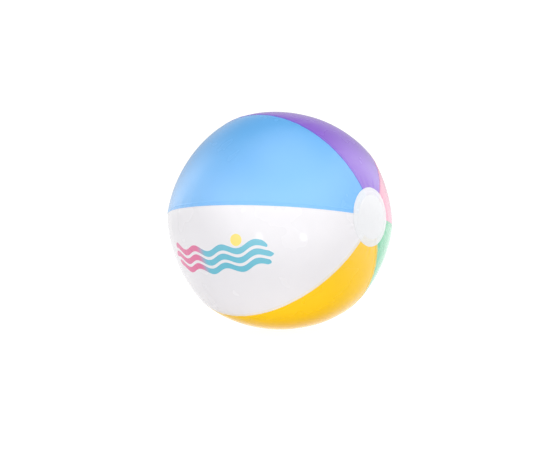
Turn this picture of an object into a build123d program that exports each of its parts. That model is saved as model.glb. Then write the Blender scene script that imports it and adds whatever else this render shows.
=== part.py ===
"""Inflatable beach ball: six welded film panels, two end discs and a push-in valve.

Millimetres, +Z up. The origin is the centre of the ball. The polar axis, where the tips
of the panels meet, lies along X: the plain end disc is at +X, the valve disc at -X.
Angles around the ball are right-handed turns about +X, counted from +Z.
Heights in the valve are outward distances from the panels' outer surface at its pole.
"""

import os
from math import asin, degrees

from build123d import *

os.makedirs("parts", exist_ok=True)

# The ball
ball_radius = 175.0  # outside of the panels
film = 0.3  # thickness of the printed sheet
panel_names = ["blue", "white", "yellow", "green", "pink", "purple"]
first_seam = 20.0  # where the blue panel starts, in degrees
tip_hole_radius = 33.0  # the panels stop this far from the polar axis
lap_width = 5.0  # a panel's start edge runs this far under the end of the one before
lap_root = 2.0  # and this far back under its own skin
disc_radius = 43.3  # end discs, which cover the tips

# The valve's well and flange
well_radius = 11.5
flange_radius = 18.0
flange_thickness = 0.8
diaphragm_wall = 0.6
diaphragm_depth = 10.0
diaphragm_corner = 1.6

# The stem, its rim and its bore
stem_radius = 5.0
stem_bore_radius = 3.55
stem_top = -2.2
stem_bottom = -15.0
rim_radius = 6.0
rim_thickness = 1.2
bore_chamfer = 0.4

# The plug, its ring round the stem's neck, and the strap that joins them
plug_gap = 0.05  # between the head and the rim, when closed
head_radius = 6.2
head_thickness = 1.8
head_crown = 0.35
shank_end_radius = 3.3
shank_waist_radius = 3.15
shank_length = 5.0
nose_length = 1.3
nose_radius = 2.9
ring_radius = 6.3
ring_height = 1.8
ring_gap = 0.2  # between the ring and the rim above it
strap_width = 3.6
strap_thickness = 0.8
strap_reach = 9.6  # how far the strap's loop stands out from the valve's axis
strap_crest = 0.5  # and how far outwards it rises before it comes down to the head
strap_bend_radius = 1.2

# The one-way flap at the stem's inner end
flap_radius = 4.7
flap_thickness = 0.4
flap_gap = 0.05
flap_root_width = 4.0
flap_root_reach = 5.0

panel_angle = 360 / len(panel_names)
tip_angle = degrees(asin(tip_hole_radius / ball_radius))
disc_angle = degrees(asin(disc_radius / ball_radius))
flange_angle = degrees(asin(flange_radius / ball_radius))

# The valve's section: its first axis points up, its second outwards along -X.
valve_section = Plane(origin=(-ball_radius, 0, 0), x_dir=(0, 0, 1), z_dir=(0, -1, 0))
# Rounds of the valve are drawn flat on this plane, whose normal points outwards.
valve_face = Plane(origin=(-ball_radius, 0, 0), x_dir=(0, 0, 1), z_dir=(-1, 0, 0))


def arc_band(inner_radius, outer_radius, start_angle, end_angle):
    """Draw the band between two radii and two angles from +X, in the present sketch."""
    sweep_angle = end_angle - start_angle
    with BuildLine() as band:
        outer = CenterArc((0, 0), outer_radius, start_angle, sweep_angle)
        inner = CenterArc((0, 0), inner_radius, start_angle, sweep_angle)
        Line(outer @ 0, inner @ 0)
        Line(outer @ 1, inner @ 1)
    make_face(band.edges())


# The panels: lunes of the sphere, each lapped under the edge of the one before it
lap_back_angle = degrees(asin(lap_root / tip_hole_radius))
lap_front_angle = degrees(asin(lap_width / tip_hole_radius))
for index, colour in enumerate(panel_names):
    start_seam = Plane.XZ.rotated((first_seam + index * panel_angle, 0, 0))
    with BuildPart() as panel:
        # the lap, one film further in: a strip of constant width along the start seam
        with BuildSketch(start_seam.rotated((-lap_front_angle, 0, 0))):
            arc_band(ball_radius - 2 * film, ball_radius - film, tip_angle, 180 - tip_angle)
        revolve(axis=Axis.X, revolution_arc=lap_front_angle + lap_back_angle)
        with BuildSketch(start_seam.offset(-lap_width)):
            Rectangle(2 * ball_radius, ball_radius, align=(Align.CENTER, Align.MIN))
        extrude(amount=lap_width + lap_root, mode=Mode.INTERSECT)
        # the skin, from its start seam to its end seam
        with BuildSketch(start_seam):
            arc_band(ball_radius - film, ball_radius, tip_angle, 180 - tip_angle)
        revolve(axis=Axis.X, revolution_arc=panel_angle)
    panel.part.label = f"panel_{colour}"
    export_step(panel.part, f"parts/panel_{colour}.step")

# The end discs, welded over the tips of the panels
with BuildPart() as end_disc_plain:
    with BuildSketch(Plane.XZ):
        arc_band(ball_radius, ball_radius + film, 0, disc_angle)
    revolve(axis=Axis.X)
end_disc_plain.part.label = "end_disc_plain"
export_step(end_disc_plain.part, "parts/end_disc_plain.step")

with BuildPart() as end_disc_valve:
    with BuildSketch(Plane.XZ):
        arc_band(ball_radius, ball_radius + film, 180 - disc_angle, 180)
    revolve(axis=Axis.X)
    with BuildSketch(valve_face):
        Circle(well_radius)
    extrude(amount=disc_radius, both=True, mode=Mode.SUBTRACT)
end_disc_valve.part.label = "end_disc_valve"
export_step(end_disc_valve.part, "parts/end_disc_valve.step")

# The valve's flange, welded to the inside of its disc round the hole
with BuildPart() as valve_flange:
    with BuildSketch(Plane.XZ):
        arc_band(ball_radius - flange_thickness, ball_radius, 180 - flange_angle, 180)
    revolve(axis=Axis.X)
    with BuildSketch(valve_face):
        Circle(well_radius)
    extrude(amount=disc_radius, both=True, mode=Mode.SUBTRACT)
valve_flange.part.label = "valve_flange"
export_step(valve_flange.part, "parts/valve_flange.step")

# The diaphragm: the thin wall of the well, which turns inside out when the stem is pulled
hole_edge_height = (ball_radius**2 - well_radius**2) ** 0.5 - ball_radius
with BuildPart() as valve_diaphragm:
    with BuildSketch(valve_section):
        with BuildLine():
            wall = FilletPolyline(
                (well_radius - diaphragm_wall / 2, hole_edge_height),
                (well_radius - diaphragm_wall / 2, hole_edge_height - 2 * flange_thickness),
                (well_radius - 1.7, diaphragm_wall / 2 - diaphragm_depth),
                (stem_radius, diaphragm_wall / 2 - diaphragm_depth),
                radius=diaphragm_corner,
            )
        trace(wall, line_width=diaphragm_wall)
    revolve(axis=Axis.X)
    with BuildSketch(valve_face):
        Circle(stem_radius)
    extrude(amount=2 * diaphragm_depth, both=True, mode=Mode.SUBTRACT)
valve_diaphragm.part.label = "valve_diaphragm"
export_step(valve_diaphragm.part, "parts/valve_diaphragm.step")

# The stem: a tube with a rim at its mouth
with BuildPart() as valve_stem:
    with BuildSketch(valve_section):
        with BuildLine():
            Polyline(
                (stem_bore_radius, stem_bottom),
                (stem_radius, stem_bottom),
                (stem_radius, stem_top - rim_thickness),
                (rim_radius, stem_top - rim_thickness),
                (rim_radius, stem_top),
                (stem_bore_radius, stem_top),
                close=True,
            )
        make_face()
    revolve(axis=Axis.X)
    mouth = valve_stem.edges().filter_by(GeomType.CIRCLE).group_by(Axis.X)[0]
    chamfer(mouth.sort_by(SortBy.RADIUS)[0], bore_chamfer)
valve_stem.part.label = "valve_stem"
export_step(valve_stem.part, "parts/valve_stem.step")

# The plug's ring, snapped round the stem's neck under the rim
ring_top = stem_top - rim_thickness - ring_gap
with BuildPart() as plug_ring:
    with BuildSketch(valve_face.offset(ring_top)):
        Circle(ring_radius)
        Circle(stem_radius, mode=Mode.SUBTRACT)
    extrude(amount=-ring_height)
    outer_edges = plug_ring.edges().filter_by(GeomType.CIRCLE).sort_by(SortBy.RADIUS)[-2:]
    fillet(outer_edges, ring_height / 6)
plug_ring.part.label = "plug_ring"
export_step(plug_ring.part, "parts/plug_ring.step")

# The plug: a crowned head, and a waisted shank that fills the bore
head_under = stem_top + plug_gap
head_edge = head_under + head_thickness
shank_waist = stem_top - shank_length / 2
shank_tip = stem_top - shank_length
with BuildPart() as valve_plug:
    with BuildSketch(valve_section):
        with BuildLine():
            Polyline((0, shank_tip - nose_length), (0, head_edge + head_crown))
            ThreePointArc(
                (0, head_edge + head_crown),
                (head_radius / 2, head_edge + 0.75 * head_crown),
                (head_radius, head_edge),
            )
            Polyline((head_radius, head_edge), (head_radius, head_under), (shank_end_radius, head_under))
            Line((shank_end_radius, head_under), (shank_end_radius, stem_top))
            ThreePointArc(
                (shank_end_radius, stem_top),
                (shank_waist_radius, shank_waist),
                (shank_end_radius, shank_tip),
            )
            Polyline(
                (shank_end_radius, shank_tip),
                (nose_radius, shank_tip - nose_length),
                (0, shank_tip - nose_length),
            )
        make_face()
    revolve(axis=Axis.X)
valve_plug.part.label = "valve_plug"
export_step(valve_plug.part, "parts/valve_plug.step")

# The strap: a flat loop from the ring up to the edge of the plug's head
strap_low = ring_top - ring_height / 2
strap_high = head_under + head_thickness / 2
with BuildPart() as plug_strap:
    with BuildSketch(valve_section):
        with BuildLine():
            loop = FilletPolyline(
                (ring_radius - 1, strap_low),
                (strap_reach, strap_low),
                (strap_reach, strap_crest),
                (head_radius - 1, strap_high),
                radius=strap_bend_radius,
            )
        trace(loop, line_width=strap_thickness)
    extrude(amount=strap_width / 2, both=True)
    with BuildSketch(valve_face):
        Circle(ring_radius)
    extrude(amount=2 * diaphragm_depth, both=True, mode=Mode.SUBTRACT)
plug_strap.part.label = "plug_strap"
export_step(plug_strap.part, "parts/plug_strap.step")

# The one-way flap: a thin leaf with a straight root, hung across the stem's inner end
with BuildPart() as check_flap:
    with BuildSketch(valve_face.offset(stem_bottom - flap_gap)):
        Circle(flap_radius)
        Rectangle(flap_root_reach, flap_root_width, align=(Align.MIN, Align.CENTER))
    extrude(amount=-flap_thickness)
check_flap.part.label = "check_flap"
export_step(check_flap.part, "parts/check_flap.step")
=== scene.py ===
"""Looks of the inflatable beach ball: six printed vinyl panels, two end discs, a valve.

Metres, in the CAD frame. The origin is the ball's centre and its polar axis lies along X:
the plain disc is at +X and the valve at -X. A place on the ball is given by its polar
angle from +X and its turn about +X, counted from +Z. A place in the valve is given by its
distance from the polar axis and its height outwards from the panels' face at the pole.
"""

import bpy
import numpy as np
from mathutils import Matrix, Vector


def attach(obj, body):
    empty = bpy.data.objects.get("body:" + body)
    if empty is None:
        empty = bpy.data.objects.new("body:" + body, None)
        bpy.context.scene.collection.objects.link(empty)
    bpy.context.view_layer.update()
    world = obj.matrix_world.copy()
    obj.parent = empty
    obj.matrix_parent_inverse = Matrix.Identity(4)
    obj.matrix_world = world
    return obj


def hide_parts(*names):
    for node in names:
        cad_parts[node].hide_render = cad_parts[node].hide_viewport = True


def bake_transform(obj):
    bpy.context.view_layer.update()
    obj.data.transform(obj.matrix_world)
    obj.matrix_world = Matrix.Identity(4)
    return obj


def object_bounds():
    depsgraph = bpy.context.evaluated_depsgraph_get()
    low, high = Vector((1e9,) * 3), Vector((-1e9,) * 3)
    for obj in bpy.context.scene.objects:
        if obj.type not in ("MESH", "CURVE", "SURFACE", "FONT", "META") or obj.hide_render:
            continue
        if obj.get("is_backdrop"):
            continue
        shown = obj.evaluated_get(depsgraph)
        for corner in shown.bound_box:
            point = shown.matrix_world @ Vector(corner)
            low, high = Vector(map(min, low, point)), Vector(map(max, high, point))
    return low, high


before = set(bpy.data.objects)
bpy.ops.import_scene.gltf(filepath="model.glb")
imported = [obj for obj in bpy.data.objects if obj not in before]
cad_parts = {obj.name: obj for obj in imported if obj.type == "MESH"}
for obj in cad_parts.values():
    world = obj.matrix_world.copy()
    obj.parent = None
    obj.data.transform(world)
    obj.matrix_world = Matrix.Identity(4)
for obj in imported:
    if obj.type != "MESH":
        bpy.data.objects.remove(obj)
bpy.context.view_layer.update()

MM = 0.001

# The ball, as the CAD has it
BALL_RADIUS = 175 * MM
FILM = 0.3 * MM
PANEL_COLOURS = ["blue", "white", "yellow", "green", "pink", "purple"]
FIRST_SEAM = np.radians(20)
PANEL_TURN = np.radians(60)
TIP_HOLE_RADIUS = 33 * MM
DISC_RADIUS = 43.3 * MM
WELL_RADIUS = 11.5 * MM
FLANGE_RADIUS = 18 * MM
FULL_TURN = 2 * np.pi

# How the film lies once it is blown up
GORE_FLATNESS = 6.0 * MM
SQUATNESS = 3.0 * MM
SEAM_ROUNDING = 0.15
LAP_CLEARANCE = 0.02 * MM
DISC_CLEARANCE = 0.03 * MM
WELD_DEPTH = 0.1 * MM
DISC_WELD_DEPTH = 0.08 * MM
EDGE_ANGLE = np.radians(48)  # a mesh edge sharper than this keeps its corner


# ---------------------------------------------------------------- shapes


def smooth(low, high, x):
    """0 below low, 1 above high, and the S curve 3t^2 - 2t^3 between them."""
    t = np.clip((x - low) / (high - low), 0, 1)
    return t * t * (3 - 2 * t)


def on_ball(radius, polar, turn):
    """X is r cos(polar), Y is -r sin(polar) sin(turn) and Z is r sin(polar) cos(turn)."""
    across = radius * np.sin(polar)
    return np.stack(
        np.broadcast_arrays(
            radius * np.cos(polar), -across * np.sin(turn), across * np.cos(turn)
        ),
        axis=-1,
    )


def nearest_seam(polar, turn):
    """The number of the nearest seam, and the arc from it in metres, positive past it."""
    steps = (turn - FIRST_SEAM) / PANEL_TURN
    number = np.round(steps)
    arc = BALL_RADIUS * np.sin(polar) * (steps - number) * PANEL_TURN
    return number.astype(int) % len(PANEL_COLOURS), arc


SHAPE_DRAWS = np.random.default_rng(20)
SEAM_PHASES = SHAPE_DRAWS.uniform(0, FULL_TURN, (4, len(PANEL_COLOURS)))
DISC_PHASES = SHAPE_DRAWS.uniform(0, FULL_TURN, (3, 2))
SWELL_PHASES = SHAPE_DRAWS.uniform(0, FULL_TURN, 6)

# wavelength, height and reach from the seam of each row of puckers, in millimetres
SEAM_PUCKERS = [(9.5, 0.05, 8.0), (14.0, 0.09, 13.0), (23.0, 0.13, 22.0)]
PATCH_WAVE = 97 * MM
# how many puckers go round a disc in each row, and their height in millimetres
DISC_PUCKERS = [(23, 0.14), (34, 0.10), (47, 0.05)]


def seam_puckers(polar, turn):
    """Short puckers across the seams, where two curved cuts are welded into one line.

    Three sines of the arc along the seam, each with its own wavelength and height, times a
    slow fourth one, times a bell curve of the arc from the seam. The sines are shifted with
    that arc, so that the puckers lean.
    """
    seam, arc = nearest_seam(polar, turn)
    lean = 0.3
    along = BALL_RADIUS * polar + lean * np.abs(arc)
    height = 0
    for row, (wave, rise, reach) in enumerate(SEAM_PUCKERS):
        bell = np.exp(-((arc / (reach * MM)) ** 2))
        swing = np.sin(FULL_TURN * along / (wave * MM) + SEAM_PHASES[row][seam])
        height = height + rise * MM * bell * swing
    patchy = 0.62 + 0.38 * np.sin(FULL_TURN * along / PATCH_WAVE + SEAM_PHASES[3][seam])
    return height * patchy


def disc_puckers(polar, turn):
    """Puckers that run out from the two discs.

    Three sines of the turn, times an S curve that starts at the disc's edge and a bell
    curve that ends them a finger's width outside it.
    """
    from_pole = np.minimum(polar, np.pi - polar)
    outside = BALL_RADIUS * (from_pole - np.arcsin(DISC_RADIUS / BALL_RADIUS))
    pole = (np.asarray(polar) > np.pi / 2).astype(int)
    height = 0
    for row, (count, rise) in enumerate(DISC_PUCKERS):
        height = height + rise * MM * np.sin(count * turn + DISC_PHASES[row][pole])
    fade_in = smooth(-3 * MM, 5 * MM, outside)
    fade_out = np.exp(-((outside / (15 * MM)) ** 2))
    return height * fade_in * fade_out


def soft_swells(polar, turn):
    """Broad, shallow unevenness of the film: products of slow sines of both angles."""
    a, b, c, d, e, f = SWELL_PHASES
    return (
        0.16 * MM * np.sin(7 * polar + a) * np.sin(6 * turn + b)
        + 0.10 * MM * np.sin(11 * polar + c) * np.sin(9 * turn + d)
        + 0.05 * MM * np.sin(19 * polar + e) * np.sin(17 * turn + f)
    ) * np.sin(polar) ** 2


def skin_radius(polar, turn):
    """Radius of the panels' face.

    A panel is flatter than the ball: its radius rises as the square of the distance from
    its middle, 0 there and nearly 1 at a seam, where a square root rounds the ridge off.
    That is levelled about its mean, and fades towards the poles by the squared sine of the
    polar angle. The ball also sits a little squat: the radius loses the squatness times
    the square of the upward part of the direction. The puckers and swells are added.
    """
    steps = (turn - FIRST_SEAM) / PANEL_TURN
    from_seam = 2 * np.abs(steps - np.round(steps))
    from_middle = 1 - np.sqrt(SEAM_ROUNDING**2 + from_seam**2)
    mean = 0.3
    return (
        BALL_RADIUS
        + GORE_FLATNESS * (from_middle**2 - mean) * np.sin(polar) ** 2
        - SQUATNESS * (np.sin(polar) * np.cos(turn)) ** 2
        + seam_puckers(polar, turn)
        + disc_puckers(polar, turn)
        + soft_swells(polar, turn)
    )


def weld_groove(before_seam):
    """The band that the welding bar presses into a lap: a flat-bottomed groove."""
    starts = smooth(0.5 * MM, 1.0 * MM, before_seam)
    ends = 1 - smooth(3.6 * MM, 4.2 * MM, before_seam)
    return WELD_DEPTH * starts * ends


def add_mesh(name, points, faces, attributes=None):
    """A smooth-shaded mesh of those points and faces, turned so that its faces point out.

    A closed mesh whose faces point out has a positive volume: the sum, over its triangles,
    of each one's triple product.
    """
    triangles = [f[:, [0, i, i + 1]] for f in faces for i in range(1, f.shape[1] - 1)]
    corners = points[np.concatenate(triangles)]
    volume = np.einsum("ij,ij->", corners[:, 0], np.cross(corners[:, 1], corners[:, 2]))
    rows = [f if volume > 0 else f[:, ::-1] for f in faces]
    mesh = bpy.data.meshes.new(name)
    mesh.from_pydata(points.tolist(), [], [r for f in rows for r in f.tolist()])
    for key, values in (attributes or {}).items():
        kind = "FLOAT_COLOR" if np.ndim(values) == 2 else "FLOAT"
        field = "color" if kind == "FLOAT_COLOR" else "value"
        data = mesh.attributes.new(key, kind, "POINT").data
        data.foreach_set(field, np.asarray(values, np.float32).ravel())
    mesh.polygons.foreach_set("use_smooth", np.ones(len(mesh.polygons), bool))
    mesh.set_sharp_from_angle(angle=EDGE_ANGLE)
    mesh.update()
    piece = bpy.data.objects.new(name, mesh)
    bpy.context.scene.collection.objects.link(piece)
    return piece


def grid_faces(rows, columns, wrap_rows=False, wrap_columns=False):
    """The four-sided faces of a grid of points, closed on itself either way if asked."""
    r = np.arange(rows if wrap_rows else rows - 1)[:, None]
    c = np.arange(columns if wrap_columns else columns - 1)[None, :]
    nr, nc = (r + 1) % rows, (c + 1) % columns
    corners = [r * columns + c, r * columns + nc, nr * columns + nc, nr * columns + c]
    return np.stack(np.broadcast_arrays(*corners), axis=-1).reshape(-1, 4)


def capped_faces(rows, columns):
    """The faces of a grid whose columns wrap round, closed by fans on two end points, which
    follow the grid's own points."""
    ring = np.arange(columns)
    after = (ring + 1) % columns
    first_end, last_end = rows * columns, rows * columns + 1
    last = (rows - 1) * columns
    return [
        grid_faces(rows, columns, wrap_columns=True),
        np.stack([np.full(columns, first_end), after, ring], axis=-1),
        np.stack([np.full(columns, last_end), last + ring, last + after], axis=-1),
    ]


def point_marks(marks):
    """A mesh attribute's values for every point: plain numbers where there is one each."""
    return {key: v[:, 0] if v.shape[1] == 1 else v for key, v in marks.items()}


def film_piece(name, outer, inner, marks, round_it=False):
    """A sheet with a real thickness: an outer grid, an inner grid, and the strips that
    close their edges. A sheet that goes all the way round has no side edges. The marks are
    grids of values that its finish reads, and both faces have the same ones."""
    rows, columns = outer.shape[:2]
    number = np.arange(rows * columns).reshape(rows, columns)
    below = number + rows * columns
    face = grid_faces(rows, columns, wrap_columns=round_it)
    faces = [face, face[:, ::-1] + rows * columns]

    def strip(edge, under):
        if round_it:
            edge, under = np.append(edge, edge[0]), np.append(under, under[0])
        return np.stack([edge[:-1], under[:-1], under[1:], edge[1:]], axis=-1)

    faces += [strip(number[0], below[0]), strip(number[-1], below[-1])[:, ::-1]]
    if not round_it:
        faces.append(strip(number[:, 0], below[:, 0])[:, ::-1])
        faces.append(strip(number[:, -1], below[:, -1]))
    points = np.concatenate([outer.reshape(-1, 3), inner.reshape(-1, 3)])
    flat = {key: v.reshape(rows * columns, -1) for key, v in marks.items()}
    both = {key: np.concatenate([v, v]) for key, v in flat.items()}
    return add_mesh(name, points, faces, point_marks(both))


def lathe(name, profile, steps=96):
    """A profile of (distance from the axis, height outwards), in millimetres, turned about
    the valve's axis. A profile that starts and ends on the axis closes on one point at
    each end, and any other one is a closed loop."""
    profile = np.asarray(profile, float) * MM
    angle = np.arange(steps) * FULL_TURN / steps
    solid = profile[0, 0] == 0 and profile[-1, 0] == 0
    rings = profile[1:-1] if solid else profile
    reach, height = rings[:, :1], rings[:, 1:]
    points = valve_points(reach * np.cos(angle), reach * np.sin(angle), height)
    points = points.reshape(-1, 3)
    if not solid:
        faces = grid_faces(len(rings), steps, wrap_rows=True, wrap_columns=True)
        return add_mesh(name, points, [faces])
    ends = valve_points(0, 0, profile[[0, -1], 1])
    return add_mesh(name, np.concatenate([points, ends]), capped_faces(len(rings), steps))


def valve_points(up, side, height):
    """Row-frame points from the valve's own upward, sideways and outward distances."""
    return np.stack(np.broadcast_arrays(-BALL_RADIUS - height, side, up), axis=-1)


def rounded(corners, radius, pieces=6, closed=False):
    """A line through those corners with each one rounded off.

    Each corner becomes a quadratic curve: it starts and ends at the radius's distance from
    the corner, or just under halfway along a shorter side, and the corner is its control
    point. The ends of an open line stay as they are.
    """
    p = np.asarray(corners, float)
    before, after = np.roll(p, 1, axis=0), np.roll(p, -1, axis=0)
    reach = np.broadcast_to(np.asarray(radius, float), len(p))[:, None]

    def towards(other):
        gap = other - p
        length = np.linalg.norm(gap, axis=1, keepdims=True)
        return p + gap / length * np.minimum(reach, 0.49 * length)

    start, end = towards(before)[:, None], towards(after)[:, None]
    t = np.linspace(0, 1, pieces)[None, :, None]
    curve = (1 - t) ** 2 * start + 2 * t * (1 - t) * p[:, None] + t**2 * end
    if closed:
        return curve.reshape(-1, 2)
    return np.concatenate([p[:1], curve[1:-1].reshape(-1, 2), p[-1:]])


def divided(line, pieces):
    """The same line with each of its runs cut into that many equal pieces."""
    ends = zip(line[:-1], line[1:], pieces, strict=True)
    runs = [np.linspace(start, end, count, endpoint=False) for start, end, count in ends]
    return np.concatenate([*runs, line[-1:]])


def across(line):
    """Unit vectors square to a line at its points: its gradient given a quarter turn."""
    along = np.gradient(line, axis=0)
    along /= np.linalg.norm(along, axis=1, keepdims=True)
    return np.stack([-along[:, 1], along[:, 0]], axis=1)


def wall_round(line, thickness):
    """A closed loop that runs half a thickness to each side of an open line."""
    side = across(line) * thickness / 2
    return np.concatenate([line + side, (line - side)[::-1]])


def carried(name, line, width, thickness, flare):
    """A strip whose section is a rounded rectangle, carried along a line in the valve's
    upright plane. The strip is wider by the flare at its two ends, where it is moulded
    into its neighbours: the extra width falls off as a bell curve of the arc from each end.
    """
    step = np.linalg.norm(np.diff(line, axis=0), axis=1)
    arc = np.concatenate([[0], np.cumsum(step)])
    fade, corner = 1.4, 0.3
    bells = np.exp(-((arc / fade) ** 2)) + np.exp(-(((arc[-1] - arc) / fade) ** 2))
    wider = 1 + flare * bells / (width / 2)
    w, h = width / 2, thickness / 2
    section = rounded([(-w, -h), (w, -h), (w, h), (-w, h)], corner, closed=True)
    normal = across(line)
    side = section[None, :, 0] * wider[:, None]
    up = line[:, :1] + normal[:, :1] * section[None, :, 1]
    height = line[:, 1:] + normal[:, 1:] * section[None, :, 1]
    points = valve_points(up * MM, side * MM, height * MM).reshape(-1, 3)
    ends = valve_points(line[[0, -1], 0] * MM, 0, line[[0, -1], 1] * MM)
    faces = capped_faces(len(line), len(section))
    return add_mesh(name, np.concatenate([points, ends]), faces)


# ---------------------------------------------------------------- camera


def aim_camera():
    """Stands off the ball along its azimuth and elevation, looks at its centre, and rolls.

    The away direction is (sin a cos e, -cos a cos e, sin e), the level one (cos a, sin a,
    0). The camera's up leans from the upright towards the level one by the roll.
    """
    azimuth, elevation, roll = np.radians([39.2, 1.0, 3.5])
    distance = 1.4
    away = Vector(
        (
            np.sin(azimuth) * np.cos(elevation),
            -np.cos(azimuth) * np.cos(elevation),
            np.sin(elevation),
        )
    )
    level = Vector((np.cos(azimuth), np.sin(azimuth), 0))
    upright = away.cross(level)
    right = level * np.cos(roll) - upright * np.sin(roll)
    up = upright * np.cos(roll) + level * np.sin(roll)
    lens = bpy.data.cameras.new("camera")
    lens.lens, lens.sensor_width = 58.03, 36
    lens.shift_x, lens.shift_y = -0.00909, -0.00691
    lens.clip_start, lens.clip_end = 0.05, 60
    camera = bpy.data.objects.new("camera", lens)
    bpy.context.scene.collection.objects.link(camera)
    aim = Matrix((right, up, away)).transposed().to_4x4()
    camera.matrix_world = Matrix.Translation(away * distance) @ aim
    bpy.context.scene.camera = camera
    return right, up, away


camera_axes = aim_camera()


# ---------------------------------------------------------------- finishes


def linear(red, green, blue):
    """A colour as a paint chart gives it, 0 to 255, turned into light."""
    c = np.array([red, green, blue]) / 255
    return [*np.where(c <= 0.04045, c / 12.92, ((c + 0.055) / 1.055) ** 2.4), 1]


class Nodes:
    """A material's nodes, with short calls for the ones used here."""

    def __init__(self, name):
        self.material = bpy.data.materials.new(name)
        self.material.use_nodes = True
        self.tree = self.material.node_tree
        self.shader = self.tree.nodes["Principled BSDF"]
        self.place = self.add("ShaderNodeTexCoord").outputs["Object"]

    def add(self, kind, inputs=None, **settings):
        node = self.tree.nodes.new(kind)
        for key, value in settings.items():
            setattr(node, key, value)
        for key, value in (inputs or {}).items():
            self.put(node.inputs[key], value)
        return node

    def put(self, socket, value):
        if isinstance(value, bpy.types.NodeSocket):
            self.tree.links.new(value, socket)
        else:
            socket.default_value = value

    def set(self, values):
        for key, value in values.items():
            self.put(self.shader.inputs[key], value)

    def moved(self, seed, step):
        """Slides the object's own places, so that each finish shows other marks."""
        slide = {"Vector": self.place, "Location": [seed * s for s in step]}
        self.place = self.add("ShaderNodeMapping", slide).outputs["Vector"]

    def noise(self, scale, detail=2.0, roughness=0.5):
        inputs = {
            "Vector": self.place,
            "Scale": scale,
            "Detail": detail,
            "Roughness": roughness,
        }
        return self.add("ShaderNodeTexNoise", inputs).outputs["Fac"]

    def math(self, operation, *values):
        node = self.add("ShaderNodeMath", operation=operation)
        for socket, value in zip(node.inputs, values):
            self.put(socket, value)
        return node.outputs[0]

    def between(self, value, low, high, to_low=0.0, to_high=1.0):
        names = ["Value", "From Min", "From Max", "To Min", "To Max"]
        inputs = dict(zip(names, [value, low, high, to_low, to_high]))
        node = self.add("ShaderNodeMapRange", inputs, interpolation_type="SMOOTHSTEP")
        return node.outputs["Result"]

    def mix(self, share, first, second, blend="MIX"):
        # a Mix node's sockets 6 and 7 are its two colours, and its output 2 is their mix
        inputs = {0: share, 6: first, 7: second}
        return self.add(
            "ShaderNodeMix", inputs, data_type="RGBA", blend_type=blend
        ).outputs[2]

    def bump(self, height, depth, under=None):
        inputs = {"Height": height, "Distance": depth, "Strength": 1.0}
        if under is not None:
            inputs["Normal"] = under
        return self.add("ShaderNodeBump", inputs).outputs["Normal"]

    def knurls(self, along, turns, across_weld, pitch, weld):
        """The welding bar's diamonds: a sine along the weld times a sine across it."""
        ribs = self.math("SINE", self.math("MULTIPLY", along, turns))
        cross = self.math("SINE", self.math("MULTIPLY", across_weld, FULL_TURN / pitch))
        return self.math("MULTIPLY", self.math("MULTIPLY", ribs, cross), weld)

    def attribute(self, name, output="Fac"):
        return self.add("ShaderNodeAttribute", attribute_name=name).outputs[output]


PRINT_COLOURS = {
    "blue": linear(99, 177, 240),
    "white": linear(234, 232, 236),
    "yellow": linear(253, 203, 0),
    "green": linear(98, 200, 152),
    "pink": linear(234, 138, 173),
    "purple": linear(136, 88, 208),
}


def wavy_bands(n, colour):
    """The white panel's print: three wavy bands that turn from pink to turquoise along
    their length, and a plain yellow spot beside them.

    A place is in a band if its distance across, less a sine of the distance along, is
    within half a band's width of the band's middle. The bands repeat at an even pitch.
    """
    along, across_panel = n.attribute("along"), n.attribute("across")
    pitch, half_width, edge = 0.0138, 0.0046, 0.00025
    bands_across, bands_along, bands_half_length = -0.0125, 0.266, 0.096
    wavelength, wave_height, end_rounding = 0.052, 0.0042, 170.0
    spot_along, spot_across, spot_radius, spot_margin = 0.221, -0.0385, 0.0088, 0.0026

    from_spot = n.math("SUBTRACT", along, spot_along)
    swing = n.math("MULTIPLY", from_spot, FULL_TURN / wavelength)
    wave = n.math("MULTIPLY", n.math("COSINE", swing), wave_height)
    shifted = n.math("SUBTRACT", n.math("SUBTRACT", across_panel, bands_across), wave)
    from_middle = n.math("ABSOLUTE", n.math("WRAP", shifted, -pitch / 2, pitch / 2))
    reach = n.math("ABSOLUTE", shifted)
    band = n.between(from_middle, half_width - edge, half_width + edge, 1.0, 0.0)
    outermost = n.between(reach, 1.5 * pitch - edge, 1.5 * pitch, 1.0, 0.0)
    band = n.math("MULTIPLY", band, outermost)
    # a band stops sooner away from its own middle, which rounds its ends, and the outer
    # bands stop sooner than the middle one
    inset = n.math("MULTIPLY", n.math("MULTIPLY", from_middle, from_middle), end_rounding)
    half_length = n.math("SUBTRACT", bands_half_length, inset)
    half_length = n.math("SUBTRACT", half_length, n.math("MULTIPLY", reach, 0.5))
    from_centre = n.math("ABSOLUTE", n.math("SUBTRACT", along, bands_along))
    over = n.math("SUBTRACT", from_centre, half_length)
    band = n.math("MULTIPLY", band, n.between(over, -edge, edge, 1.0, 0.0))
    dx, dy = from_spot, n.math("SUBTRACT", across_panel, spot_across)
    squares = n.math("ADD", n.math("MULTIPLY", dx, dx), n.math("MULTIPLY", dy, dy))
    spot = n.math("SQRT", squares)
    clear = spot_radius + spot_margin
    band = n.math("MULTIPLY", band, n.between(spot, clear - edge, clear + edge))
    turquoise, rose = linear(104, 190, 212), linear(226, 108, 156)
    ink = n.mix(n.between(along, 0.278, 0.296), turquoise, rose)
    colour = n.mix(band, colour, ink)
    inside = n.between(spot, spot_radius - edge, spot_radius + edge, 1.0, 0.0)
    return n.mix(inside, colour, linear(250, 226, 110))


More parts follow.
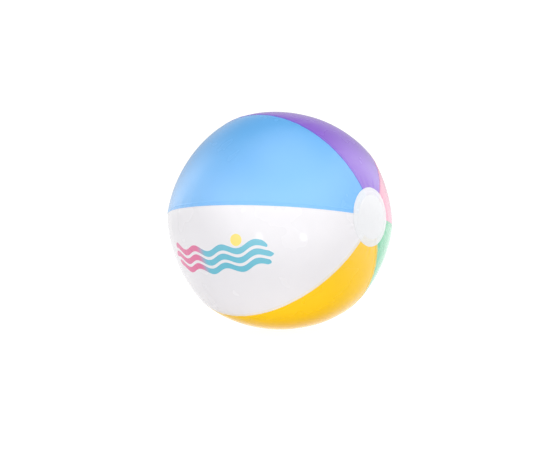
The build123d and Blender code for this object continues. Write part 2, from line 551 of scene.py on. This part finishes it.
def finish_film(n, colour, weld, weld_height, seed):
    """The film's gloss: a calendered skin with a fine grain, slow unevenness, faint rubs
    and fingermarks, and a duller, knurled band where it is welded."""
    n.moved(seed, (0.31, 0.17, 0.53))
    cloud = n.between(n.noise(9.0, 3.0, 0.55), 0.3, 0.7, 0.965, 1.0)
    rubbed = n.between(n.noise(11.0, 3.0, 0.55), 0.35, 0.7, 0.0, 0.035)
    normal = n.bump(n.noise(34.0, 2.0, 0.4), 0.15 * MM)
    normal = n.bump(n.noise(700.0, 2.0, 0.5), 0.004 * MM, normal)
    n.set(
        {
            "Base Color": n.mix(1.0, colour, cloud, "MULTIPLY"),
            "Roughness": n.math("ADD", rubbed, n.math("MULTIPLY_ADD", weld, 0.05, 0.25)),
            "Normal": n.bump(weld_height, 0.04 * MM, normal),
            "IOR": 1.55,
            "Coat Weight": 0.5,
            "Coat Roughness": 0.06,
            "Coat IOR": 1.5,
        }
    )


def brightened(colour):
    """A print colour against the white print: white film beneath then changes nothing."""
    share = np.array(PRINT_COLOURS[colour]) / np.array(PRINT_COLOURS["white"])
    return list(np.minimum(share, 1))


def panel_finish(colour, under, seed):
    """Printed film: near the panel's end edge the next panel's lap shows through it."""
    n = Nodes(f"film_{colour}")
    before_seam = n.attribute("before_seam")
    printed = PRINT_COLOURS[colour]
    if colour == "white":
        printed = wavy_bands(n, printed)
    show_through = 0.18
    lapped = n.between(before_seam, 4.6 * MM, 5.2 * MM, show_through, 0.0)
    tint = n.mix(lapped, printed, brightened(under), "MULTIPLY")
    starts = n.between(before_seam, 0.5 * MM, 1.0 * MM)
    ends = n.between(before_seam, 3.6 * MM, 4.2 * MM, 1.0, 0.0)
    weld = n.math("MULTIPLY", starts, ends)
    along, ribs_along = n.attribute("along"), FULL_TURN / (1.6 * MM)
    knurls = n.knurls(along, ribs_along, before_seam, 1.1 * MM, weld)
    finish_film(n, tint, weld, knurls, seed)
    return n.material


def disc_finish():
    """White film, with the panels' colours faint through its welded edge."""
    n = Nodes("film_disc")
    weld, under = n.attribute("weld"), n.attribute("under", "Color")
    tint = n.mix(n.attribute("cover"), linear(234, 235, 238), under, "MULTIPLY")
    turn, from_pole = n.attribute("turn_from_up"), n.attribute("from_pole")
    ribs_round = 150.0
    knurls = n.knurls(turn, ribs_round, from_pole, 1.2 * MM, weld)
    finish_film(n, tint, weld, knurls, seed=7)
    return n.material


def moulding_finish(name, colour, roughness, seed):
    """Soft moulded vinyl, a little milky, with the mould's satin and faint flow marks."""
    n = Nodes(name)
    n.moved(seed, (0.23, 0.41, 0.11))
    cloud = n.between(n.noise(160.0, 3.0, 0.6), 0.3, 0.75, 0.93, 1.0)
    satin = n.between(n.noise(700.0, 3.0, 0.6), 0.3, 0.7, roughness, roughness + 0.1)
    normal = n.bump(n.noise(240.0, 2.0, 0.5), 0.04 * MM)
    n.set(
        {
            "Base Color": n.mix(1.0, colour, cloud, "MULTIPLY"),
            "Roughness": satin,
            "Normal": n.bump(n.noise(2600.0, 2.0, 0.6), 0.008 * MM, normal),
            "IOR": 1.52,
            "Subsurface Weight": 0.25,
            "Subsurface Scale": 2 * MM,
            "Coat Weight": 0.15,
            "Coat Roughness": 0.08,
        }
    )
    return n.material


def dress(piece, material):
    """Gives a piece its finish."""
    piece.data.materials.append(material)
    return piece


# ---------------------------------------------------------------- panels

TIP_POLAR = np.arcsin(TIP_HOLE_RADIUS / BALL_RADIUS)
# arcs from an edge at which a panel's grid has a column, close together over the weld
UNDER_LAP = [-5, -4.2, -3.6, -2.4, -1, -0.5, -0.1]
PAST_START = [0.4, 1.2, 2.2, 3.4, 4.8, 6.4, 8.2, 10.2, 12.4]
OVER_LAP = [0, 0.25, 0.5, 1.0, 2.3, 3.6, 4.2, 4.6, 5.0]
BEFORE_LAP = [5.6, 6.2, 7.2, 8.6, 10.4, 12.4]
START_COLUMNS = np.array(UNDER_LAP + PAST_START) * MM
END_COLUMNS = np.array(OVER_LAP + BEFORE_LAP) * MM
MIDDLE_COLUMNS = 34
PANEL_ROWS = 278


def panel_film(index, colour):
    """One panel from tip to tip.

    Rows are polar angles and columns are arcs across the panel. Near both edges the columns
    are at set arcs from the seam, and between them they share what is left. The panel's
    first strip is the lap, just under the face, and its last one rises one film to lie on
    the next panel's lap.
    """
    polar = np.linspace(TIP_POLAR, np.pi - TIP_POLAR, PANEL_ROWS)[:, None]
    hoop = BALL_RADIUS * np.sin(polar)
    full = hoop * PANEL_TURN
    start = np.broadcast_to(START_COLUMNS, (PANEL_ROWS, len(START_COLUMNS)))
    end = full - END_COLUMNS[::-1]
    share = np.linspace(0, 1, MIDDLE_COLUMNS + 2)[1:-1]
    middle = START_COLUMNS[-1] + share * (full - END_COLUMNS[-1] - START_COLUMNS[-1])
    past_start = np.concatenate([start, middle, end], axis=1)
    before_seam = full - past_start
    turn = FIRST_SEAM + index * PANEL_TURN + past_start / hoop
    raised = FILM * (1 - smooth(4.6 * MM, 6.2 * MM, before_seam))
    radius = skin_radius(polar, turn) + (raised - weld_groove(before_seam))
    in_lap = 1 - smooth(-0.5 * MM, -0.1 * MM, past_start)
    radius = radius - in_lap * (LAP_CLEARANCE + weld_groove(-past_start))
    outer = on_ball(radius, polar, turn)
    inner = on_ball(radius - FILM, polar, turn)
    marks = {
        "along": np.broadcast_to(BALL_RADIUS * polar, past_start.shape),
        "across": past_start - full / 2,
        "before_seam": before_seam,
    }
    piece = film_piece(f"panel_{colour}_film", outer, inner, marks)
    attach(piece, "ball")
    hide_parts(f"panel_{colour}")
    return piece


for index, colour in enumerate(PANEL_COLOURS):
    panel = panel_film(index, colour)
    under = PANEL_COLOURS[(index + 1) % len(PANEL_COLOURS)]
    dress(panel, panel_finish(colour, under, index + 1))


# ---------------------------------------------------------------- end discs


DISC_MIDDLE_ROWS = 22
DISC_EDGE_ROWS = 34
DISC_COLUMNS = 360


def disc_film(name, node, hole_radius, at_valve):
    """A disc that lies on the panels' tips.

    Its inner face is the panels' face, raised one film over each lap and let down where
    the tips end, and its outer face is one film further out. A flat-bottomed ring near its
    edge is the weld.
    """
    rim = np.arcsin(DISC_RADIUS / BALL_RADIUS)
    inside = np.arcsin(hole_radius / BALL_RADIUS)
    middle = np.linspace(inside, rim - 13 * MM / BALL_RADIUS, DISC_MIDDLE_ROWS)
    edge = rim - np.linspace(12.5, 0, DISC_EDGE_ROWS) * MM / BALL_RADIUS
    from_pole = np.concatenate([middle, edge])[:, None]
    turn = (np.arange(DISC_COLUMNS) * FULL_TURN / DISC_COLUMNS)[None, :]
    polar = np.pi - from_pole if at_valve else from_pole
    _, past_seam = nearest_seam(polar, turn)
    reach = BALL_RADIUS * np.sin(from_pole)
    on_tips = smooth(TIP_HOLE_RADIUS - 1.2 * MM, TIP_HOLE_RADIUS + 0.2 * MM, reach)
    over_lap = smooth(-7 * MM, -4.8 * MM, past_seam)
    over_lap = over_lap * (1 - smooth(0.2 * MM, 2.2 * MM, past_seam))
    middle_skin = BALL_RADIUS + soft_swells(polar, turn)
    let_down = 0.12 * MM * (1 - on_tips) * smooth(0, 0.3, from_pole / rim)
    inner_radius = (
        np.where(on_tips > 0, skin_radius(polar, turn), middle_skin)
        + DISC_CLEARANCE
        + FILM * over_lap * on_tips
        - let_down
    )
    from_edge = BALL_RADIUS * (rim - from_pole)
    weld = smooth(1.0 * MM, 1.5 * MM, from_edge)
    weld = weld * (1 - smooth(6.0 * MM, 6.6 * MM, from_edge))
    inner = on_ball(inner_radius, polar, turn)
    outer = on_ball(inner_radius + FILM - DISC_WELD_DEPTH * weld, polar, turn)
    shape = inner_radius.shape
    chart = np.array([brightened(c) for c in PANEL_COLOURS])
    beneath = np.floor((turn - FIRST_SEAM) / PANEL_TURN).astype(int) % len(PANEL_COLOURS)
    from_up = np.abs((turn + np.pi) % FULL_TURN - np.pi)
    show_through = 0.1
    marks = {
        "weld": np.broadcast_to(weld, shape),
        "cover": show_through * np.broadcast_to(on_tips, shape),
        "under": np.broadcast_to(chart[beneath[0]][None], (*shape, 4)),
        "turn_from_up": np.broadcast_to(from_up, shape),
        "from_pole": BALL_RADIUS * np.broadcast_to(from_pole, shape),
    }
    if at_valve:
        piece = film_piece(name, outer, inner, marks, round_it=True)
    else:
        piece = capped_film(name, outer, inner, marks)
    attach(piece, "ball")
    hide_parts(node)
    return piece


def capped_film(name, outer, inner, marks):
    """A round sheet with no hole: its first row is one point on each face."""
    rows, columns = outer.shape[:2]
    points, faces, kept = [], [], {key: [] for key in marks}
    offset = 0
    for grid, flip in ((outer, 1), (inner, -1)):
        body = grid[1:].reshape(-1, 3)
        points += [grid[0].mean(axis=0, keepdims=True), body]
        ring = offset + 1 + np.arange(columns)
        fan = np.stack([np.full(columns, offset), ring, np.roll(ring, -1)], axis=-1)
        quads = grid_faces(rows - 1, columns, wrap_columns=True) + offset + 1
        faces += [fan[:, ::flip], quads[:, ::-flip]]
        for key, values in marks.items():
            flat = values.reshape(rows * columns, -1)
            kept[key] += [flat[:1], flat[columns:]]
        offset += 1 + len(body)
    last = 1 + (rows - 2) * columns + np.arange(columns)
    below = last + offset // 2
    faces.append(np.stack([last, below, np.roll(below, -1), np.roll(last, -1)], axis=-1))
    joined = {key: np.concatenate(parts) for key, parts in kept.items()}
    return add_mesh(name, np.concatenate(points), faces, point_marks(joined))


disc_material = disc_finish()
plain_disc = disc_film("end_disc_plain_film", "end_disc_plain", 0.0, False)
valve_disc = disc_film("end_disc_valve_film", "end_disc_valve", WELL_RADIUS, True)
for disc in (plain_disc, valve_disc):
    dress(disc, disc_material)


# ---------------------------------------------------------------- valve

# Profiles are (distance from the axis, height outwards), in millimetres.
valve_vinyl = moulding_finish("valve_vinyl", linear(224, 230, 234), 0.24, 1)
plug_vinyl = moulding_finish("plug_vinyl", linear(236, 239, 242), 0.2, 2)
flap_film = moulding_finish("flap_film", linear(226, 231, 235), 0.26, 3)


def flange_face(below, taper):
    """A sphere that far below the panels' face, from the well out to the flange's rim. It
    rises by the taper over its last 3 mm."""
    reach = np.linspace(WELL_RADIUS, FLANGE_RADIUS, 14) / MM
    ball = BALL_RADIUS / MM
    height = np.sqrt((ball - below) ** 2 - reach**2) - ball
    height = height + taper * smooth(15.0, 18.0, reach)
    return np.stack([reach, height], axis=1)


flange_profile = np.concatenate([flange_face(0.0, 0.0), flange_face(0.8, 0.45)[::-1]])
flange = lathe("valve_flange_ring", flange_profile, 128)
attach(flange, "ball")
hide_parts("valve_flange")
dress(flange, valve_vinyl)

well_line = rounded([(11.2, -0.38), (11.2, -1.98), (9.8, -9.7), (5.0, -9.7)], 1.6, 14)
bend_pieces = [2] * 13
well_line = divided(well_line, [4, *bend_pieces, 26, *bend_pieces, 10])
diaphragm = lathe("valve_diaphragm_wall", wall_round(well_line, 0.6), 128)
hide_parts("valve_diaphragm")
dress(diaphragm, valve_vinyl)
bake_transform(diaphragm)

stem = lathe(
    "valve_stem_tube",
    rounded(
        [
            (3.55, -15.0),
            (5.0, -15.0),
            (5.0, -3.4),
            (6.0, -3.4),
            (6.0, -2.2),
            (3.95, -2.2),
            (3.55, -2.6),
        ],
        [0.25, 0.4, 0.25, 0.4, 0.4, 0.2, 0.2],
        closed=True,
    ),
)
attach(stem, "stem")
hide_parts("valve_stem")
dress(stem, valve_vinyl)

ring_corners = [(5.0, -5.4), (6.3, -5.4), (6.3, -3.6), (5.0, -3.6)]
ring_profile = rounded(ring_corners, [0.1, 0.45, 0.45, 0.1], closed=True)
ring = lathe("plug_ring_collar", ring_profile)
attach(ring, "stem")
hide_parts("plug_ring")
dress(ring, plug_vinyl)

# the crowned head has a shallow groove round it and a small gate mark in the middle
plug = lathe(
    "valve_plug_head",
    rounded(
        [
            (0, -8.5),
            (2.9, -8.5),
            (3.3, -7.2),
            (3.15, -4.7),
            (3.3, -2.15),
            (6.2, -2.15),
            (6.2, -0.35),
            (5.0, -0.2),
            (4.75, -0.45),
            (4.4, -0.45),
            (4.15, -0.12),
            (1.0, 0.0),
            (0.8, -0.22),
            (0, -0.22),
        ],
        [0, 0.8, 0.7, 1.6, 0.25, 0.4, 0.6, 0.18, 0.15, 0.15, 0.2, 0.15, 0.12, 0],
    ),
)
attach(plug, "plug")
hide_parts("valve_plug")
dress(plug, plug_vinyl)

strap_line = rounded([(5.3, -4.5), (9.6, -4.5), (9.6, 0.5), (5.2, -1.25)], 1.5, 16)
bend_pieces = [1] * 15
strap_line = divided(strap_line, [10, *bend_pieces, 12, *bend_pieces, 10])
strap = carried("plug_strap_loop", strap_line, width=3.6, thickness=0.8, flare=0.5)
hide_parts("plug_strap")
dress(strap, plug_vinyl)
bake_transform(strap)


def flap_leaf():
    """A round leaf with a square root on its upper side.

    The outline is the circle or, towards the root, the root's square edge, whichever is
    further out. Each face is that outline drawn in towards the middle, and the edge
    between them bulges by a quarter circle.
    """
    columns, leaf_radius, root_reach, root_half_width = 96, 4.7, 5.0, 2.0
    half_thickness, middle_height = 0.2, -15.25
    angle = np.arange(columns) * FULL_TURN / columns
    with np.errstate(divide="ignore"):
        top = root_reach / np.maximum(np.cos(angle), 1e-6)
        square = np.minimum(top, root_half_width / np.abs(np.sin(angle)))
    outline = np.maximum(leaf_radius, np.where(np.cos(angle) > 0, square, 0))
    bend, face = np.linspace(0, np.pi, 9), np.linspace(0.1, 0.9, 9)
    share = np.concatenate([face, 0.96 + 0.04 * np.sin(bend), face[::-1]])
    side_of = np.concatenate([np.full(9, 1.0), np.cos(bend), np.full(9, -1.0)])
    height = side_of * half_thickness + middle_height
    up = share[:, None] * (outline * np.cos(angle))
    side = share[:, None] * (outline * np.sin(angle))
    points = valve_points(up * MM, side * MM, height[:, None] * MM).reshape(-1, 3)
    middles = valve_points(0, 0, height[[0, -1]] * MM)
    faces = capped_faces(len(share), columns)
    return add_mesh("check_flap_leaf", np.concatenate([points, middles]), faces)


flap = flap_leaf()
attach(flap, "flap")
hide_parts("check_flap")
dress(flap, flap_film)


# ---------------------------------------------------------------- floor, light and air


WHITE = (1, 1, 1, 1)


def plain_floor(level):
    """A wide round floor of white paper, made as rings of points round the ball."""
    rows, columns = 24, 96
    reach = np.geomspace(0.05, 14.0, rows)[:, None]
    angle = np.arange(columns) * FULL_TURN / columns
    x, y = reach * np.cos(angle), reach * np.sin(angle)
    rings = np.stack(np.broadcast_arrays(x, y, level), axis=-1)
    points = np.concatenate([rings.reshape(-1, 3), [[0, 0, level]]])
    ring = np.arange(columns)
    fan = np.stack([np.full(columns, rows * columns), ring, (ring + 1) % columns], axis=-1)
    quads = grid_faces(rows, columns, wrap_columns=True)[:, ::-1]
    n = Nodes("floor_paper")
    tone = n.between(n.noise(3.0, 3.0), 0.3, 0.7, 0.39, 0.41)
    n.set(
        {
            "Base Color": n.mix(1.0, WHITE, tone, "MULTIPLY"),
            "Roughness": 0.9,
            "Specular IOR Level": 0.0,
            "Emission Color": WHITE,
            "Emission Strength": 0.94,
        }
    )
    floor = stage_mesh("floor", points, quads.tolist() + fan.tolist(), n.material)
    floor.visible_glossy = False


def stage_mesh(name, points, faces, material):
    """A mesh that belongs to the studio and not to the ball."""
    mesh = bpy.data.meshes.new(name)
    mesh.from_pydata(points.tolist(), [], faces)
    mesh.materials.append(material)
    thing = bpy.data.objects.new(name, mesh)
    bpy.context.scene.collection.objects.link(thing)
    thing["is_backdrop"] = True
    return thing


def dome(name, radius, material):
    """A sphere of rows of polar angles and columns of turns, round the whole studio."""
    rows, columns = 40, 64
    polar = np.linspace(0, np.pi, rows + 2)[1:-1, None]
    turn = np.arange(columns) * FULL_TURN / columns
    ends = on_ball(radius, np.array([0, np.pi]), 0)
    points = np.concatenate([on_ball(radius, polar, turn).reshape(-1, 3), ends])
    faces = [face for part in capped_faces(rows, columns) for face in part.tolist()]
    thing = stage_mesh(name, points, faces, material)
    thing.visible_shadow = thing.visible_diffuse = False
    return thing


def glowing(n, strength):
    emitter = n.add("ShaderNodeEmission", {"Strength": strength})
    n.tree.links.new(emitter.outputs[0], n.tree.nodes["Material Output"].inputs["Surface"])
    return n.material


def backdrop():
    """Plain white all round, which only the camera sees."""
    thing = dome("backdrop", 20.0, glowing(Nodes("backdrop_paper"), 1.1))
    thing.visible_glossy = False


def reflection_tent():
    """White cloth all round, which shows only in reflections.

    Its brightness is a curve of height: dark below, bright about level and brightest a
    little higher, dim overhead. It dips about two directions behind the ball, one above it
    and one low on the left, and a soft lamp's glow about one in front is added.
    """
    n = Nodes("tent_cloth")
    facing = n.add("ShaderNodeVectorMath", {0: n.place}, operation="NORMALIZE").outputs[0]
    height = n.add("ShaderNodeSeparateXYZ", {0: facing}).outputs["Z"]
    right, _, away = camera_axes
    level = Vector((away.x, away.y, 0)).normalized()

    def near(direction, low, high, to_low, to_high):
        inputs = {0: facing, 1: direction.normalized()}
        dot = n.add("ShaderNodeVectorMath", inputs, operation="DOT_PRODUCT")
        dot = dot.outputs["Value"]
        return n.between(dot, low, high, to_low, to_high)

    rise = n.between(height, -0.85, -0.12, 0.0, 1.4)
    lift = n.between(height, -0.1, 0.4, 0.0, 0.5)
    fall = n.between(height, 0.5, 0.98, 1.0, 0.12)
    glow = n.math("MULTIPLY", n.math("ADD", rise, lift), fall)
    behind_above = Vector((0, 0, 0.75)) - level
    glow = n.math("MULTIPLY", glow, near(behind_above, 0.62, 0.93, 1.0, 0.3))
    low_left = Vector((0, 0, -0.45)) - 0.65 * level - 0.65 * right
    glow = n.math("MULTIPLY", glow, near(low_left, 0.8, 0.92, 1.0, 0.75))
    in_front = Vector((0, 0, 0.5)) + level
    glow = n.math("ADD", glow, near(in_front, 0.0, 0.92, 0.0, 1.8))
    dome("tent", 6.0, glowing(n, glow)).visible_camera = False


def soft_box(name, direction, distance, size, power, in_reflections):
    """A square soft box that faces the ball. Its direction is along the camera's right, up
    and away axes. It either shows in reflections or lights the colours, and not both."""
    parts = [axis * share for axis, share in zip(camera_axes, direction)]
    spot = (parts[0] + parts[1] + parts[2]).normalized() * distance
    lamp = bpy.data.lights.new(name, "AREA")
    lamp.shape, lamp.size, lamp.energy = "SQUARE", size, power
    box = bpy.data.objects.new(name, lamp)
    bpy.context.scene.collection.objects.link(box)
    box.location = spot
    box.rotation_mode = "QUATERNION"
    box.rotation_quaternion = spot.to_track_quat("Z", "Y")
    box.visible_camera = False
    box.visible_glossy = in_reflections
    box.visible_diffuse = not in_reflections


def studio_air():
    """A little white light from all sides."""
    world = bpy.data.worlds.new("studio")
    bpy.context.scene.world = world
    world.use_nodes = True
    background = world.node_tree.nodes["Background"]
    background.inputs["Color"].default_value = WHITE
    background.inputs["Strength"].default_value = 0.45


studio_air()
backdrop()
reflection_tent()
soft_box("highlight_left", (-0.295, -0.295, 0.91), 0.8, 0.075, 0.09, in_reflections=True)
soft_box("highlight_right", (0.345, -0.28, 0.90), 0.8, 0.075, 0.15, in_reflections=True)
soft_box("key", (0.05, 0.95, 0.3), 2.2, 1.6, 32.5, in_reflections=False)
soft_box("fill_behind", (0.0, 0.25, -0.97), 2.2, 1.6, 10.0, in_reflections=False)

visual_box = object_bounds()
plain_floor(visual_box[0].z)
bpy.context.scene.view_settings.view_transform = "Standard"
